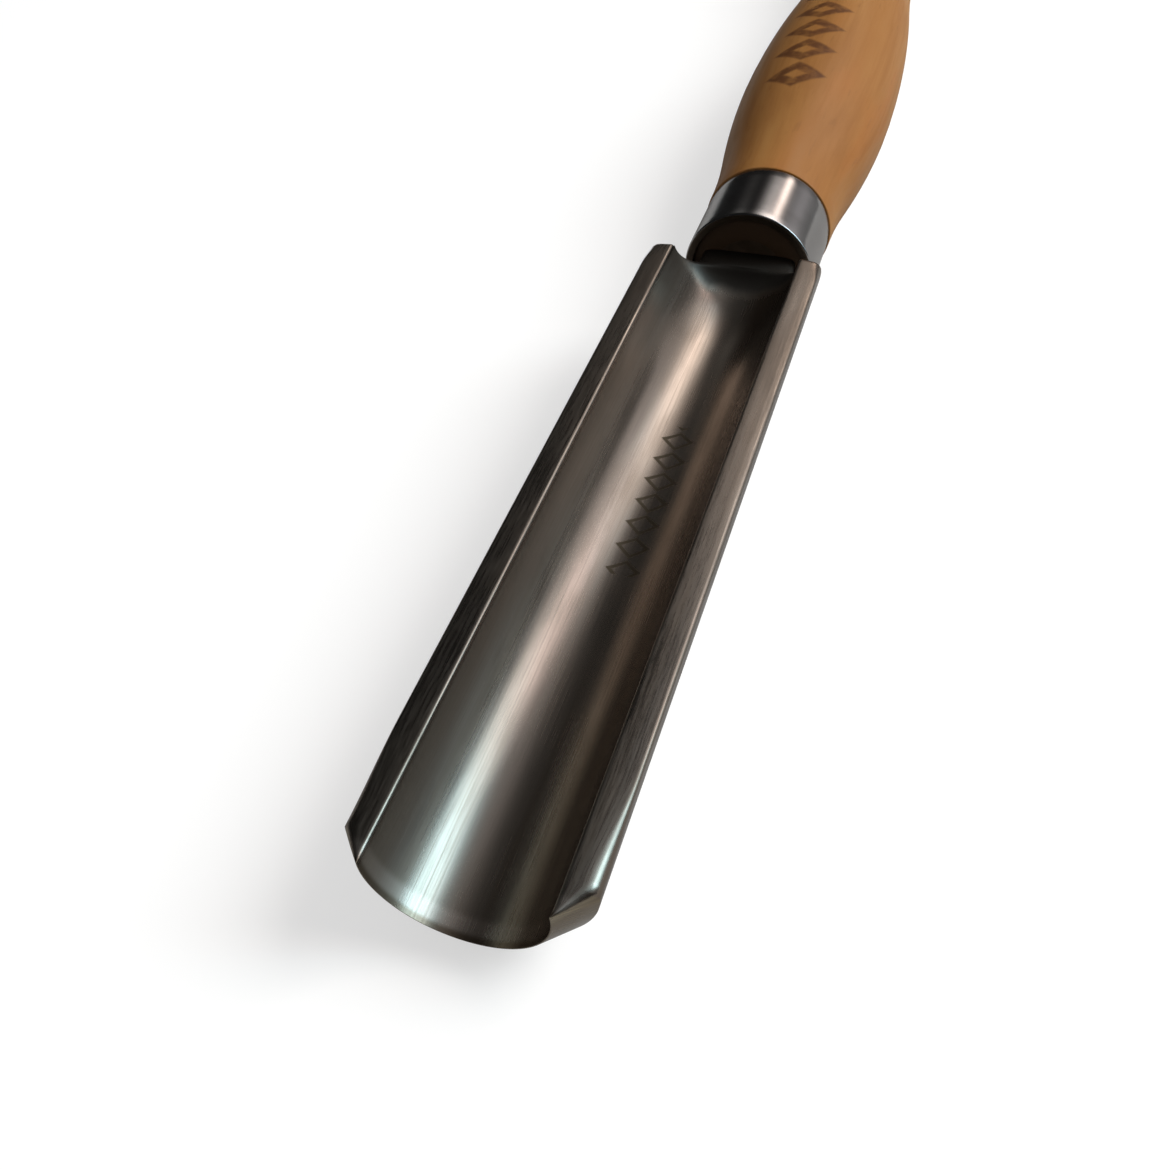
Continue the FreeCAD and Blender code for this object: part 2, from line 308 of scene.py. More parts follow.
def rear_section(station):
    """The section where the channel's floor ramps up and its wings run down to the shoulder."""
    share = (station - WING_END) / (SHOULDER_END - WING_END)
    fall = 1 - (1 - share) ** WING_HOLLOW if share > 0 else WING_HOLLOW * share
    fall = soft_max(fall, 0.0, WING_SOFTNESS) if share < 1 else 1.0
    corner_ease = CORNER_EASE + (WING_CORNER_EASE - CORNER_EASE) * smooth(1 + share)
    half, inside, outside = right_half(OUTER_RADIUS, corner_ease)
    rear = shoulder_half(half, inside, outside)
    climb = max(station - RAMP_START, 0.0) / (SHOULDER_END - RAMP_START)
    lift = RAMP_LIFT * climb ** 2 + (NECK_TOP - FLOOR_Z - RAMP_LIFT) * climb ** RAMP_SWEEP
    squeeze = 1 - lift / CHANNEL_RADIUS
    section = []
    for n, (here, there) in enumerate(zip(half, rear)):
        x, z = here
        top = (z if n >= inside else RIDGE_Z) * (1 - fall) + there[1] * fall
        if n < inside:
            if z < AXIS_Z:
                z = AXIS_Z - (AXIS_Z - z) * squeeze
            section.append((x, -soft_max(-z, -top, RIM_EASE * fall)))
        elif n < outside:
            section.append((x + (there[0] - x) * fall, top))
        else:
            section.append((x + (there[0] - x) * fall, z + (there[1] - z) * fall))
    return mirrored(section)


def mixed(first, last, share):
    """A loop part of the way from one loop to another."""
    return [tuple(a + (b - a) * share for a, b in zip(p, q)) for p, q in zip(first, last)]


def stretch(rows, start, end, steps, section_at):
    """Add sections after the start station, up to and including the end station."""
    for n in range(1, steps + 1):
        share = n / steps
        station = start + (end - start) * share
        rows.append([(x, station, z) for x, z in section_at(share, station)])


def blade_loops():
    """Every section of the blade from its cutting edge to the end of its tang."""
    edge = bar_section(EDGE_RADIUS)
    rows = [[(x, TIP, z) for x, z in edge]]
    bevel_depth = OUTER_RADIUS - EDGE_RADIUS
    stretch(rows, TIP, HEEL, BEVEL_SECTIONS, lambda share, _: bar_section(
        EDGE_RADIUS + bevel_depth * share, worn_ease(0.0)))
    worn_end = HEEL + WORN_LENGTH
    stretch(rows, HEEL, worn_end, WORN_SECTIONS, lambda share, _: bar_section(
        OUTER_RADIUS, worn_ease(share)))
    bar = bar_section(OUTER_RADIUS)
    stretch(rows, worn_end, RAMP_START, BAR_SECTIONS, lambda *_: bar)
    stretch(rows, RAMP_START, SHOULDER_END, REAR_SECTIONS, lambda _, station: rear_section(station))

    shoulder = [(x, z) for x, _, z in rows[-1]]
    neck = [rounded_block(NECK_HALF, x, z) for x, z in shoulder]
    step_end = SHOULDER_END + STEP_LENGTH
    stretch(rows, SHOULDER_END, step_end, STEP_SECTIONS, lambda share, _: mixed(
        shoulder, neck, math.sqrt(share)))
    stretch(rows, step_end, WOOD_FACE, NECK_SECTIONS, lambda *_: neck)
    root = [rounded_block(TANG_ROOT_HALF, x, z) for x, z in shoulder]
    end = [rounded_block(TANG_END_HALF, x, z) for x, z in shoulder]
    stretch(rows, WOOD_FACE, WOOD_FACE + HAIR, 1, lambda *_: root)
    stretch(rows, WOOD_FACE + HAIR, TANG_END, TANG_SECTIONS, lambda share, _: mixed(
        root, end, share))
    return rows


def make_blade():
    """Forged and milled steel: channel, lands, bevel, ramp, shoulder, neck and tang."""
    piece = skin_mesh("blade_steel", blade_loops())
    sharpen(piece)
    piece.data.materials.append(blade_material())
    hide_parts("blade")
    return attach(piece, "root")


# ---------------------------------------------------------------- turned pieces

TURN_STEPS = 128
MOUTH_EASE = 0.55 * MM              # rounding of the ferrule's mouth
FERRULE_REAR_EASE = 0.2 * MM
FERRULE_STEPS = 8
WOOD_EASE = 0.4 * MM                # rounding of the wood's shoulders at the ferrule
PROFILE_STEP = 1.5 * MM             # least distance between two rings of the handle
BUTT_ZONE = 8 * MM                  # but every ring of the CAD profile is kept this near the butt


def turned(name, profile, ring=False):
    """Turn a profile of (radius, station) points about the handle's axis.

    A ring's profile is a closed loop; any other profile starts and ends on the axis.
    """
    stations = profile + profile[:1] if ring else profile
    mesh = bpy.data.meshes.new(name)
    work = bmesh.new()
    uv = work.loops.layers.uv.new("surface")
    angles = [2 * math.pi * n / TURN_STEPS for n in range(TURN_STEPS)]
    rows = []
    for radius, station in stations[:-1] if ring else stations:
        rows.append([work.verts.new((radius * math.cos(a), station, radius * math.sin(a)))
                     for a in angles])
    if ring:
        rows.append(rows[0])
    travel = [0.0]
    for here, there in zip(stations, stations[1:]):
        travel.append(travel[-1] + math.dist(here, there))
    girth = 2 * math.pi * max(radius for radius, _ in stations)
    for row in range(len(rows) - 1):
        for n in range(TURN_STEPS):
            after = (n + 1) % TURN_STEPS
            corners = [(row, n, n), (row, after, n + 1), (row + 1, after, n + 1), (row + 1, n, n)]
            face = work.faces.new([rows[r][v] for r, v, _ in corners])
            face.smooth = True
            for loop, (r, _, step) in zip(face.loops, corners):
                loop[uv].uv = (girth * step / TURN_STEPS, travel[r])
    bmesh.ops.remove_doubles(work, verts=work.verts, dist=HAIR / 10)
    bmesh.ops.dissolve_degenerate(work, edges=work.edges, dist=HAIR / 10)
    bmesh.ops.recalc_face_normals(work, faces=work.faces)
    work.to_mesh(mesh)
    work.free()
    piece = bpy.data.objects.new(name, mesh)
    bpy.context.scene.collection.objects.link(piece)
    sharpen(piece)
    return piece


def make_ferrule():
    """Turned steel ring with a rounded mouth and a finely rounded rear edge."""
    bore = around(points("ferrule")).min()
    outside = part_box("ferrule")[1].x
    plain_length = FERRULE_END - MOUTH - 2 * MOUTH_EASE
    profile = [(bore, FERRULE_END), (bore, MOUTH)]
    profile += bend((outside - MOUTH_EASE, MOUTH), (outside, MOUTH), (outside, MOUTH + MOUTH_EASE), 6)
    for n in range(1, FERRULE_STEPS):
        profile.append((outside, MOUTH + MOUTH_EASE + plain_length * n / FERRULE_STEPS))
    profile += bend((outside, FERRULE_END - FERRULE_REAR_EASE), (outside, FERRULE_END),
                    (outside - FERRULE_REAR_EASE, FERRULE_END), 3)
    piece = turned("ferrule_steel", profile, ring=True)
    piece.data.materials.append(ferrule_material())
    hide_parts("ferrule")
    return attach(piece, "root")


def wood_outline():
    """(radius, station) of every ring on the outside of the CAD handle, from its face to its butt."""
    wood = points("handle")
    reach = around(wood)
    outside = reach > around(points("tang_bedding")).max() + MM
    stations = np.unique(np.round(wood[outside][:, 1], 5))
    return [(reach[outside & (np.abs(wood[:, 1] - y) < HAIR)].max(), y) for y in stations]


def make_handle():
    """Turned wood on the CAD handle's own profile, with its tenon and the bore for the tang."""
    rings = wood_outline()
    resin = points("tang_bedding")
    tenon = around(points("ferrule")).min()
    bore = around(resin).max()
    bore_end = resin[around(resin) > bore - HAIR][:, 1].max()
    collar = rings[1][0]
    shoulder_end = FERRULE_END + WOOD_EASE
    profile = [(0.0, resin[:, 1].max()), (bore, bore_end), (bore, WOOD_FACE)]
    profile += bend((tenon - WOOD_EASE, WOOD_FACE), (tenon, WOOD_FACE),
                    (tenon, WOOD_FACE + WOOD_EASE), 3)
    profile += [(tenon, FERRULE_END), (collar - WOOD_EASE, FERRULE_END)]
    profile += bend((collar - WOOD_EASE, FERRULE_END), (collar, FERRULE_END),
                    (collar, shoulder_end), 4)[1:]
    kept = shoulder_end
    for radius, y in rings:
        if not shoulder_end < y < BUTT - HAIR:
            continue
        if y - kept > PROFILE_STEP or BUTT - y < BUTT_ZONE:
            profile.append((radius, y))
            kept = y
    profile += [(rings[-1][0], BUTT), (0.0, BUTT)]
    piece = turned("handle_wood", profile)
    piece.data.materials.append(wood_material())
    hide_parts("handle")
    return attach(piece, "root")


# ---------------------------------------------------------------- materials

# The etched row of lozenges in the channel, and the burnt row on the handle
ETCHED_START, ETCHED_END = TIP + 61.5 * MM, TIP + 97.5 * MM
ETCHED_HALF_WIDTH = 2.9 * MM
ETCHED_PITCH = 5.2 * MM
ETCHED_DEPTH = 8 * MM               # how far below the channel's centre line the row stays
BURNT_START, BURNT_END = MOUTH + 47 * MM, MOUTH + 102 * MM
BURNT_HALF_WIDTH = 6.8 * MM
BURNT_PITCH = 11.0 * MM
BURNT_TURN = math.radians(99)       # its middle, from +X round towards +Z
BURNT_RADIUS = 15.8 * MM            # the handle's least radius under the row


class Graph:
    """A shorthand for wiring up a node tree."""

    def __init__(self, tree, output):
        self.tree = tree
        tree.nodes.clear()
        self.output = self.node(output)

    def show(self, shader):
        """Make this shader the one that the tree puts out."""
        self.feed(self.output.inputs["Surface"], shader)

    def node(self, kind, settings=None, **inputs):
        """Add a node; inputs are numbers, colours or other nodes' sockets."""
        node = self.tree.nodes.new("ShaderNode" + kind)
        for name, setting in (settings or {}).items():
            setattr(node, name, setting)
        for name, source in inputs.items():
            self.feed(node.inputs[name.replace("_", " ")], source)
        return node

    def feed(self, socket, source):
        """Link a socket, or set it to a plain value."""
        if isinstance(source, bpy.types.NodeSocket):
            self.tree.links.new(source, socket)
        elif hasattr(socket.default_value, "__len__") and len(socket.default_value) == 4:
            socket.default_value = (*source, 1.0)
        else:
            socket.default_value = source

    def maths(self, operation, *values):
        """One maths node."""
        node = self.node("Math", {"operation": operation})
        for socket, source in zip(node.inputs, values):
            self.feed(socket, source)
        return node.outputs[0]

    def vector(self, operation, *values):
        """One vector maths node."""
        node = self.node("VectorMath", {"operation": operation})
        for socket, source in zip(node.inputs, values):
            self.feed(socket, source)
        return node.outputs["Vector"]

    def mix(self, factor, low, high):
        """Mix two colours. The mix node keeps its colour sockets at these numbers."""
        node = self.node("Mix", {"data_type": "RGBA"})
        for number, source in ((0, factor), (6, low), (7, high)):
            self.feed(node.inputs[number], source)
        return node.outputs[2]

    def between(self, source, low, high, low_out=0.0, high_out=1.0):
        """Carry a value from one range to another with eased ends."""
        node = self.node("MapRange", {"interpolation_type": "SMOOTHSTEP"})
        for name, value in (("Value", source), ("From Min", low), ("From Max", high),
                            ("To Min", low_out), ("To Max", high_out)):
            self.feed(node.inputs[name], value)
        return node.outputs[0]

    def noise(self, place, scale, detail=4.0, roughness=0.55):
        """Noise with its own scale along each axis, in cells per metre."""
        stretched = self.vector("MULTIPLY", place, scale)
        node = self.node("TexNoise", Vector=stretched, Scale=1.0, Detail=detail, Roughness=roughness)
        return node.outputs[0]

    def parts(self, place):
        """The x, y and z of a vector."""
        return self.node("SeparateXYZ", Vector=place).outputs

    def add_shader(self, first, second):
        """Sum of two shaders."""
        node = self.node("AddShader")
        self.feed(node.inputs[0], first)
        self.feed(node.inputs[1], second)
        return node.outputs[0]

    def mix_shader(self, factor, first, second):
        """Mix two shaders."""
        node = self.node("MixShader")
        for socket, source in zip(node.inputs, (factor, first, second)):
            self.feed(socket, source)
        return node.outputs[0]


def new_material(name):
    """A material that shows one principled shader, with its graph and that shader."""
    material = bpy.data.materials.new(name)
    material.use_nodes = True
    graph = Graph(material.node_tree, "OutputMaterial")
    shader = graph.node("BsdfPrincipled")
    graph.show(shader.outputs[0])
    return material, graph, shader


def bump(graph, shader, height, depth, strength=1.0):
    """Give the shader a fine relief of this depth in metres."""
    node = graph.node("Bump", Height=height, Distance=depth, Strength=strength)
    graph.feed(shader.inputs["Normal"], node.outputs[0])


def brushed(graph, shader, amount, rotation=0.0):
    """Stretch the steel's highlights across the tool marks that its UV map follows."""
    shader.inputs["Anisotropic"].default_value = amount
    shader.inputs["Anisotropic Rotation"].default_value = rotation
    tangent = graph.node("Tangent", {"direction_type": "UV_MAP", "uv_map": "surface"})
    graph.feed(shader.inputs["Tangent"], tangent.outputs[0])


def facing_front(graph):
    """How squarely a surface faces -Y: 1 is head on."""
    normal = graph.node("TexCoord").outputs["Normal"]
    return graph.maths("MULTIPLY", graph.parts(normal)[1], -1.0)


def lozenges(graph, across, along, half_width, pitch, stroke):
    """A row of hollow lozenges: 1 on their strokes and 0 elsewhere."""
    closeness = 2.1                 # 2 lets neighbours touch, and more leaves a gap
    fade_start, fade_end = 1.25, 0.55
    cell = graph.maths("SUBTRACT", graph.maths("FRACT", graph.maths("DIVIDE", along, pitch)), 0.5)
    reach_along = graph.maths("MULTIPLY", graph.maths("ABSOLUTE", cell), closeness)
    reach_across = graph.maths("DIVIDE", graph.maths("ABSOLUTE", across), half_width)
    rim = graph.maths("ABSOLUTE", graph.maths(
        "SUBTRACT", graph.maths("ADD", reach_along, reach_across), 1.0 - stroke))
    return graph.between(rim, stroke * fade_start, stroke * fade_end)


def inside(graph, value, low, high, ease):
    """1 where a value lies between two limits, fading over the ease at both."""
    above = graph.between(value, low - ease, low + ease)
    below = graph.between(value, high + ease, high - ease)
    return graph.maths("MULTIPLY", above, below)


def blade_marks(graph, place, cloud):
    """Where the blade's honing band is lightened as a painted highlight, where it is etched, below
    its ridges, and where it is painted dark as shade and forge-rough at the ramp's top and neck.
    """
    x, y, z = graph.parts(place)
    honing_and_highlight = inside(graph, y, TIP + 0.9 * MM, TIP + 2.9 * MM, 0.6 * MM)
    etched = graph.maths(
        "MULTIPLY", lozenges(graph, x, y, ETCHED_HALF_WIDTH, ETCHED_PITCH, 0.2),
        inside(graph, y, ETCHED_START, ETCHED_END, 0.2 * MM))
    low = graph.maths("LESS_THAN", z, AXIS_Z - ETCHED_DEPTH)
    etched = graph.maths("MULTIPLY", etched, low)
    deep = graph.between(z, RIDGE_Z - 0.4 * MM, RIDGE_Z - 2.0 * MM)
    # Painted shade: marks the top of the ramp and the neck, which are painted near black and made
    # rough like forged metal.
    ragged = graph.maths("ADD", y, graph.maths("MULTIPLY", cloud, 4.0 * MM))
    ramp_scale_and_shade = graph.maths("MULTIPLY", deep, graph.between(
        ragged, SHOULDER_END - 4.0 * MM, SHOULDER_END - 0.4 * MM))
    neck = graph.between(y, SHOULDER_END - 0.8 * MM, SHOULDER_END + 0.3 * MM)
    forge_scale_and_shade = graph.maths("MAXIMUM", ramp_scale_and_shade, neck)
    return honing_and_highlight, etched, deep, forge_scale_and_shade


def blade_tone(graph, place, surface, streak, cloud, marks):
    """The blade's colour: ground steel with brown streaks and etched marks, and painted light: a
    lighter honing band, golden reflections on the bevel, and shade along the edge, on the right wall
    and at the neck.
    """
    x, y, _ = graph.parts(place)
    honing_and_highlight, etched, deep, forge_scale_and_shade = marks
    band = graph.noise(surface, (420.0, 9.0, 1.0), 2.0, 0.5)
    tone = graph.mix(graph.between(cloud, 0.35, 0.7), (0.300, 0.260, 0.222), (0.250, 0.210, 0.174))
    tone = graph.mix(graph.between(streak, 0.45, 0.75, 0.0, 0.35), tone, (0.165, 0.132, 0.102))
    tone = graph.mix(graph.between(band, 0.5, 0.75, 0.0, 0.30), tone, (0.195, 0.146, 0.103))
    # Painted highlight: the honing band is lightened to brighten the reflection's foot near the
    # cutting edge.
    tone = graph.mix(graph.maths("MULTIPLY", honing_and_highlight, 0.35), tone, (0.56, 0.48, 0.42))
    # Painted shade: a dark brown band along the cutting edge stands in for its rounded inner edge
    # reflecting dark.
    edge = graph.between(y, TIP + 1.1 * MM, TIP + 0.4 * MM, 0.0, 0.7)
    tone = graph.mix(edge, tone, (0.13, 0.092, 0.06))
    # The bevel's tone is partly ground steel and partly a painted warm reflection in its golden
    # streaks.
    bevel = graph.maths("MULTIPLY", graph.between(facing_front(graph), 0.35, 0.6),
                        graph.between(y, TIP + 8 * MM, TIP + 7 * MM))
    ground = graph.mix(graph.between(streak, 0.35, 0.7), (0.30, 0.26, 0.20), (0.50, 0.42, 0.28))
    tone = graph.mix(bevel, tone, ground)
    tone = graph.mix(graph.maths("MULTIPLY", etched, 0.8), tone, (0.040, 0.032, 0.014))
    # Painted shade: the channel's right wall below the ridges is darkened brown.
    painted_shade = graph.maths("MULTIPLY", deep, graph.between(x, 2 * MM, 5 * MM, 0.0, 0.55))
    tone = graph.mix(painted_shade, tone, (0.155, 0.105, 0.070))
    # Painted shade: near black at the top of the ramp and the neck.
    return graph.mix(forge_scale_and_shade, tone, (0.050, 0.044, 0.038))


def blade_roughness(graph, place, surface, streak, cloud, marks):
    """The blade's roughness: scratched lands, a duller left wall, and rough forge-worked metal at the
    ramp's top and neck.
    """
    x, _, z = graph.parts(place)
    honing_and_highlight, etched, deep, forge_scale_and_shade = marks
    scratch = graph.noise(surface, (2600.0, 110.0, 1.0), 5.0, 0.8)
    on_land = graph.between(z, RIDGE_Z - 0.75 * MM, RIDGE_Z - 0.4 * MM)
    left_wall = graph.between(x, -8 * MM, -10.5 * MM, 0.0, 0.12)
    worn = graph.between(streak, 0.3, 0.75, 0.18, 0.27)
    for extra in (graph.between(cloud, 0.3, 0.7, -0.03, 0.05),
                  graph.maths("MULTIPLY", on_land, graph.between(scratch, 0.35, 0.65, 0.02, 0.17)),
                  graph.maths("MULTIPLY", honing_and_highlight, 0.03),
                  graph.maths("MULTIPLY", deep, left_wall),
                  graph.maths("MULTIPLY", forge_scale_and_shade, 0.22),
                  graph.maths("MULTIPLY", etched, 0.15)):
        worn = graph.maths("ADD", worn, extra)
    return worn


def blade_material():
    """Milled and brushed steel, with painted shade at the ramp's top and neck, where it is also
    forge-rough and pitted.
    """
    material, graph, shader = new_material("brushed_blade")
    place = graph.node("TexCoord").outputs["Object"]
    surface = graph.node("UVMap", {"uv_map": "surface"}).outputs[0]
    streak = graph.noise(surface, (3400.0, 45.0, 1.0), 5.0, 0.65)
    fine = graph.noise(surface, (9000.0, 160.0, 1.0), 3.0, 0.6)
    cloud = graph.noise(place, (160.0, 45.0, 160.0), 3.0, 0.5)
    pits = graph.noise(place, (900.0, 900.0, 900.0), 4.0, 0.6)
    marks = blade_marks(graph, place, cloud)
    forge_scale_and_shade = marks[-1]
    height = graph.parts(place)[2]
    metal = graph.between(height, RIDGE_Z - 1.2 * MM, RIDGE_Z - 0.4 * MM, 0.94, 1.0)
    metal = graph.maths("SUBTRACT", metal, graph.maths("MULTIPLY", forge_scale_and_shade, 0.15))
    graph.feed(shader.inputs["Base Color"], blade_tone(graph, place, surface, streak, cloud, marks))
    graph.feed(shader.inputs["Metallic"], metal)
    graph.feed(shader.inputs["Roughness"],
               blade_roughness(graph, place, surface, streak, cloud, marks))
    brushed(graph, shader, 0.52)
    relief = graph.maths("ADD", graph.maths("MULTIPLY", streak, 0.7),
                         graph.maths("MULTIPLY", fine, 0.5))
    pitted = graph.maths("MULTIPLY", graph.maths("MULTIPLY", pits, forge_scale_and_shade), 4.0)
    bump(graph, shader, graph.maths("ADD", relief, pitted), 0.0025 * MM)
    return material


def ferrule_material():
    """Steel with fine marks from the lathe, and painted shade on its front face."""
    material, graph, shader = new_material("turned_ferrule")
    place = graph.node("TexCoord").outputs["Object"]
    surface = graph.node("UVMap", {"uv_map": "surface"}).outputs[0]
    rings = graph.noise(surface, (25.0, 5200.0, 1.0), 4.0, 0.6)
    cloud = graph.noise(place, (120.0, 120.0, 120.0), 3.0, 0.5)
    tone = graph.mix(graph.between(cloud, 0.35, 0.7), (0.46, 0.45, 0.445), (0.40, 0.388, 0.38))
    tone = graph.mix(graph.between(rings, 0.5, 0.8, 0.0, 0.3), tone, (0.33, 0.318, 0.305))
    # Painted shade: the ferrule's front face is darkened brown and made rougher.
    painted_shade = graph.between(facing_front(graph), 0.75, 0.95)
    tone = graph.mix(painted_shade, tone, (0.15, 0.115, 0.085))
    graph.feed(shader.inputs["Base Color"], tone)
    shader.inputs["Metallic"].default_value = 1.0
    graph.feed(shader.inputs["Roughness"], graph.maths(
        "ADD", graph.between(rings, 0.3, 0.75, 0.13, 0.19), graph.maths("MULTIPLY", painted_shade, 0.3)))
    brushed(graph, shader, 0.4, 0.25)
    bump(graph, shader, rings, 0.004 * MM)
    return material


def wood_material():
    """Varnished pale hardwood: long grain, short flecks, a burnt row of lozenges, and an end grain
    darkened partly as painted shade.
    """
    material, graph, shader = new_material("varnished_wood")
    place = graph.node("TexCoord").outputs["Object"]
    x, y, z = graph.parts(place)
    drift = graph.noise(place, (60.0, 10.0, 60.0), 3.0, 0.5)
    glow = graph.noise(place, (110.0, 22.0, 110.0), 2.0, 0.5)
    grain = graph.noise(place, (260.0, 9.0, 260.0), 5.0, 0.6)
    fleck = graph.noise(place, (900.0, 110.0, 900.0), 2.0, 0.5)
    tone = graph.mix(graph.between(drift, 0.3, 0.7), (0.283, 0.136, 0.040), (0.220, 0.092, 0.022))
    tone = graph.mix(graph.between(glow, 0.52, 0.75, 0.0, 0.5), tone, (0.26, 0.095, 0.020))
    tone = graph.mix(graph.between(grain, 0.45, 0.75, 0.0, 0.5), tone, (0.170, 0.064, 0.014))
    tone = graph.mix(graph.between(fleck, 0.62, 0.72, 0.0, 0.22), tone, (0.13, 0.048, 0.012))

    # The end grain at the wood's face is darkened: partly its own colour, partly painted shade.
    end_grain_and_shade = graph.between(y, WOOD_FACE + 0.5 * MM, WOOD_FACE + 0.2 * MM)
    tone = graph.mix(end_grain_and_shade, tone, (0.075, 0.045, 0.026))
    lean = graph.maths("ARCTAN2", z, x)
    across = graph.maths("MULTIPLY", graph.maths("SUBTRACT", lean, BURNT_TURN), BURNT_RADIUS)
    burnt = graph.maths(
        "MULTIPLY", lozenges(graph, across, y, BURNT_HALF_WIDTH, BURNT_PITCH, 0.34),
        inside(graph, y, BURNT_START, BURNT_END, 0.3 * MM))
    uneven = graph.between(graph.noise(place, (420.0, 420.0, 420.0), 3.0, 0.6), 0.3, 0.6, 0.55, 1.0)
    burnt = graph.maths("MULTIPLY", burnt, uneven)
    tone = graph.mix(graph.maths("MULTIPLY", burnt, 0.85), tone, (0.060, 0.020, 0.007))
    graph.feed(shader.inputs["Base Color"], tone)
    graph.feed(shader.inputs["Roughness"], graph.between(grain, 0.3, 0.7, 0.42, 0.55))
    shader.inputs["Coat Weight"].default_value = 0.08
    shader.inputs["Specular IOR Level"].default_value = 0.2
    shader.inputs["Coat Roughness"].default_value = 0.3
    relief = graph.maths("SUBTRACT", graph.maths("MULTIPLY", grain, 0.5), burnt)
    bump(graph, shader, relief, 0.05 * MM, 0.6)
    return material


def resin_material():
    """Dark set resin round the tang."""
    material, graph, shader = new_material("set_resin")
    place = graph.node("TexCoord").outputs["Object"]
    cloud = graph.noise(place, (300.0, 300.0, 300.0), 4.0, 0.6)
    graph.feed(shader.inputs["Base Color"], graph.mix(
        graph.between(cloud, 0.3, 0.7), (0.045, 0.030, 0.018), (0.085, 0.055, 0.034)))
    graph.feed(shader.inputs["Roughness"], graph.between(cloud, 0.3, 0.7, 0.35, 0.6))
    bump(graph, shader, cloud, 0.1 * MM, 0.5)
    return material


# ---------------------------------------------------------------- studio

def towards(bearing, elevation):
    """Unit vector at a bearing from +Y towards +X, and an elevation above the horizon."""
    turn, rise = math.radians(bearing), math.radians(elevation)
    return Vector((math.sin(turn) * math.cos(rise), math.cos(turn) * math.cos(rise), math.sin(rise)))


# What the polished steel reflects. Each soft panel hangs at a turn, in degrees from overhead
# towards +X, and a slope, in degrees from square across the tool towards +Y; then come how far it
# spreads each way, its colour and its strength.
REFLECTED = [
    (25, 62, 7, 4, (1.0, 0.82, 0.72), 4.2),
    (19, 51, 16, 5, (1.0, 0.87, 0.80), 4.0),
    (2, 55, 11, 5, (1.0, 0.95, 0.92), 0.8),
    (31, 44, 16, 4.5, (0.88, 0.94, 1.0), 2.1),
    (12, 44, 6, 4, (0.76, 0.90, 1.0), 1.0),
    (37, 37, 12, 4, (1.0, 0.82, 0.82), 2.9),
    (49, 31, 12, 4.5, (1.0, 0.98, 0.98), 2.5),
    (56, 21.5, 18, 5.5, (0.50, 0.84, 1.0), 10.0),
    (40, 20.5, 8, 2.4, (0.88, 0.96, 1.0), 4.0),
    (60, 34, 18, 26, (1.0, 0.94, 0.95), 0.75),
    (14, 22, 14, 26, (1.0, 0.96, 0.98), 0.3),
    (98, 46, 40, 40, (1.0, 0.98, 0.97), 0.19),
    (-36, 53, 11, 4, (1.0, 0.97, 0.93), 0.16),
]
SHADE = (0.015, 0.015, 0.015)       # the dim room between the reflected lights


def build_world():
    """White to the camera, a dim room with a few soft panels to steel, and soft fill to wood."""
    world = bpy.data.worlds.new("studio")
    bpy.context.scene.world = world
    world.use_nodes = True
    graph = Graph(world.node_tree, "OutputWorld")
    gaze = graph.vector("NORMALIZE", graph.node("TexCoord").outputs["Generated"])
    x, y, z = graph.parts(gaze)
    turn = graph.maths("DEGREES", graph.maths("ARCTAN2", x, z))
    slope = graph.maths("DEGREES", graph.maths("ARCSINE", y))
    glow = graph.node("Background", Color=SHADE, Strength=1.0).outputs[0]
    for panel_turn, panel_slope, width, length, colour, strength in REFLECTED:
        aside = graph.maths("DIVIDE", graph.maths("SUBTRACT", turn, panel_turn), width)
        along = graph.maths("DIVIDE", graph.maths("SUBTRACT", slope, panel_slope), length)
        off = graph.maths("ADD", graph.maths("MULTIPLY", aside, aside),
                          graph.maths("MULTIPLY", along, along))
        falloff = graph.maths("EXPONENT", graph.maths("MULTIPLY", off, -1.0))
        panel = graph.node("Background", Strength=graph.maths("MULTIPLY", falloff, strength))
        graph.feed(panel.inputs["Color"], colour)
        glow = graph.add_shader(glow, panel.outputs[0])
    fill = graph.node("Background", Color=(1.0, 0.97, 0.94), Strength=0.2)
    white = graph.node("Background", Color=(0.95, 0.95, 0.95), Strength=1.0)
    ray = graph.node("LightPath")
    lit = graph.mix_shader(ray.outputs["Is Diffuse Ray"], glow, fill.outputs[0])
    graph.show(graph.mix_shader(ray.outputs["Is Camera Ray"], lit, white.outputs[0]))


def soft_light(name, bearing, elevation, distance, size, watts, colour):
    """A square panel that lights wood and floor; steel reflects the world's panels instead."""
    lamp = bpy.data.lights.new(name, "AREA")
    lamp.size = size
    lamp.energy = watts
    lamp.color = colour
    panel = bpy.data.objects.new(name, lamp)
    bpy.context.scene.collection.objects.link(panel)
    aim = Vector((0.0, MOUTH, 0.0))
    panel.location = aim + distance * towards(bearing, elevation)
    panel.rotation_euler = (aim - panel.location).to_track_quat("-Z", "Y").to_euler()
    panel.visible_glossy = False
    panel.visible_camera = False


def build_floor():
    """Plain pale table: the handle's bulge rests on it, and the blade's heel is just clear of it."""
    handle_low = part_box("handle")[0].z
    blade_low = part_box("blade")[0].z
    wood = points("handle")
    bulge = wood[wood[:, 2] < handle_low + HAIR][:, 1].mean()
    tilt = math.atan2(blade_low - handle_low, bulge - HEEL)
    solid = np.vstack([wood, BLADE])
    contact = (solid[:, 2] + (solid[:, 1] - bulge) * math.tan(tilt)).min()
    half = 4.0                      # metres from the middle of the table to its sides
    work = bmesh.new()
    corners = [(-half, -half), (half, -half), (half, half), (-half, half)]
    work.faces.new([work.verts.new((x, bulge + y, contact - y * math.tan(tilt)))
                    for x, y in corners])
    mesh = bpy.data.meshes.new("table")
    work.to_mesh(mesh)
    work.free()
    table = bpy.data.objects.new("table", mesh)
    bpy.context.scene.collection.objects.link(table)
    table.data.materials.append(table_material())


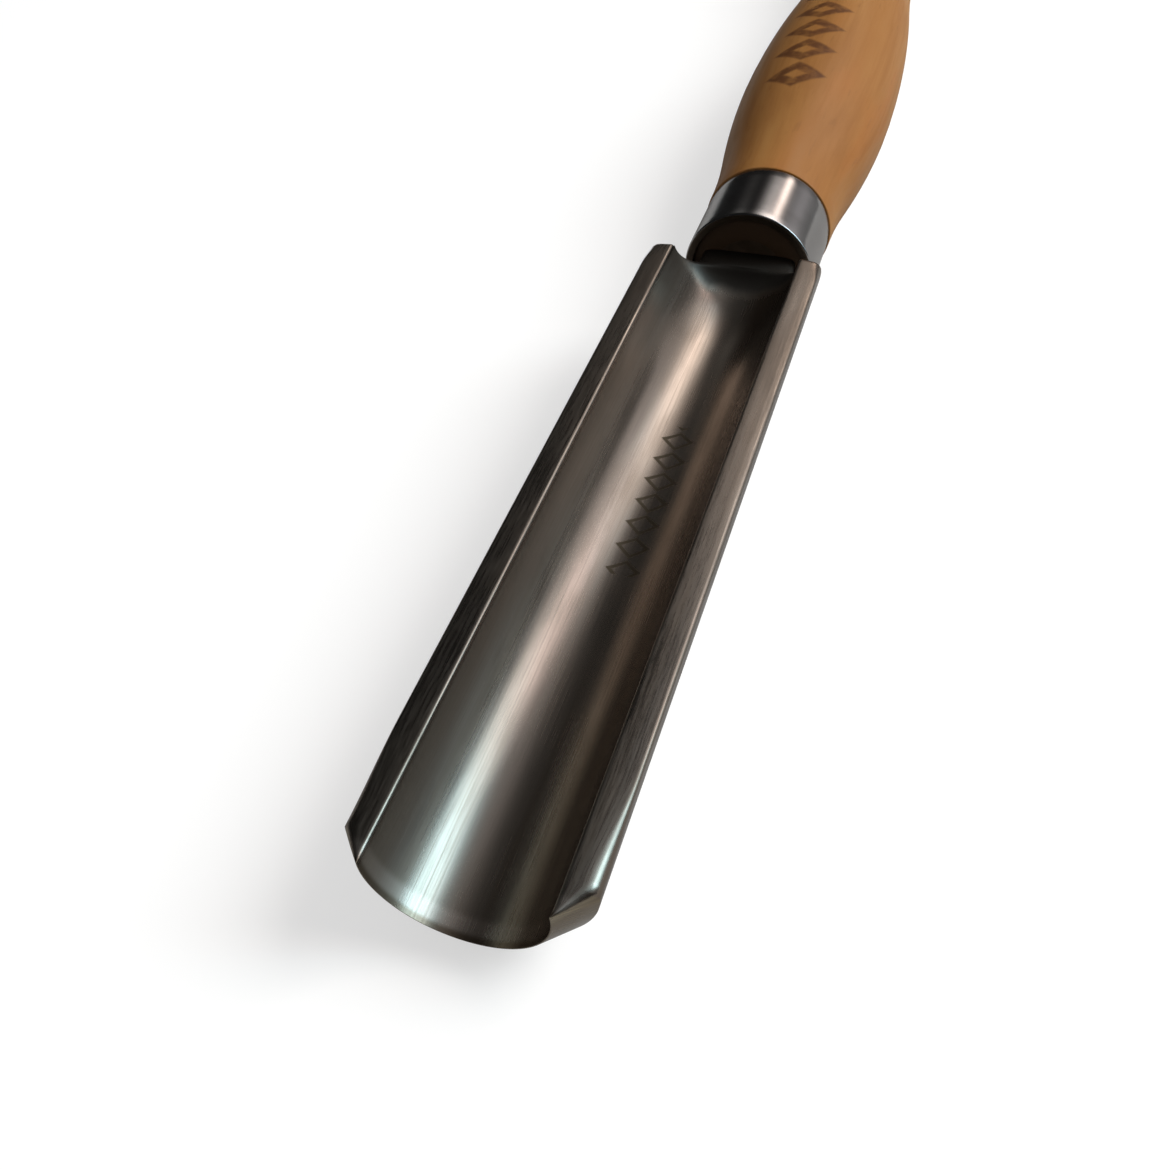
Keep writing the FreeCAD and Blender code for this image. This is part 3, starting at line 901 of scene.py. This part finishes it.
def table_material():
    """Matt white, evened out to the camera and dimmed in what the tool reflects."""
    material, graph, shader = new_material("pale_table")
    evened = 0.6                    # share of plain white that the camera sees
    reflected = 0.3                 # share of the lit table that the tool sees
    place = graph.node("TexCoord").outputs["Object"]
    cloud = graph.noise(place, (3.0, 3.0, 3.0), 3.0, 0.5)
    graph.feed(shader.inputs["Base Color"], graph.mix(
        graph.between(cloud, 0.3, 0.7), (0.93, 0.93, 0.93), (0.91, 0.91, 0.91)))
    shader.inputs["Roughness"].default_value = 0.9
    shader.inputs["Specular IOR Level"].default_value = 0.1
    dim = graph.node("Emission", Color=SHADE, Strength=1.0)
    white = graph.node("Emission", Color=(1.0, 1.0, 1.0), Strength=1.0)
    ray = graph.node("LightPath")
    lifted = graph.mix_shader(evened, shader.outputs[0], white.outputs[0])
    dimmed = graph.mix_shader(reflected, dim.outputs[0], shader.outputs[0])
    graph.show(graph.mix_shader(ray.outputs["Is Camera Ray"], dimmed, lifted))
    return material


def build_camera():
    """Above and in front of the cutting edge, a little to the right, looking down the channel."""
    lens = 36.0
    distance, azimuth, elevation, roll = 161.0 * MM, 22.8, 47.1, -5.76
    target = Vector((-0.5 * MM, TIP + 48.3 * MM, AXIS_Z))
    turn, rise = math.radians(azimuth), math.radians(elevation)
    back = Vector((math.sin(turn) * math.cos(rise), -math.cos(turn) * math.cos(rise), math.sin(rise)))
    data = bpy.data.cameras.new("camera")
    data.lens = lens
    data.sensor_width = lens
    data.clip_start = 5 * MM
    camera = bpy.data.objects.new("camera", data)
    bpy.context.scene.collection.objects.link(camera)
    level = back.to_track_quat("Z", "Y").to_matrix()
    camera.matrix_world = (Matrix.Translation(target + distance * back)
                           @ (level @ Matrix.Rotation(math.radians(roll), 3, "Z")).to_4x4())
    bpy.context.scene.camera = camera


# ---------------------------------------------------------------- assembly

make_blade()
make_ferrule()
make_handle()
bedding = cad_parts["tang_bedding"]
bedding.data.materials.clear()
bedding.data.materials.append(resin_material())

build_world()
soft_light("key", bearing=62, elevation=40, distance=1.3, size=0.9, watts=26.0,
           colour=(1.0, 0.96, 0.92))
soft_light("fill", bearing=-70, elevation=55, distance=1.6, size=1.6, watts=3.0,
           colour=(0.95, 0.97, 1.0))
build_floor()
build_camera()
bpy.context.scene.view_settings.view_transform = "Standard"
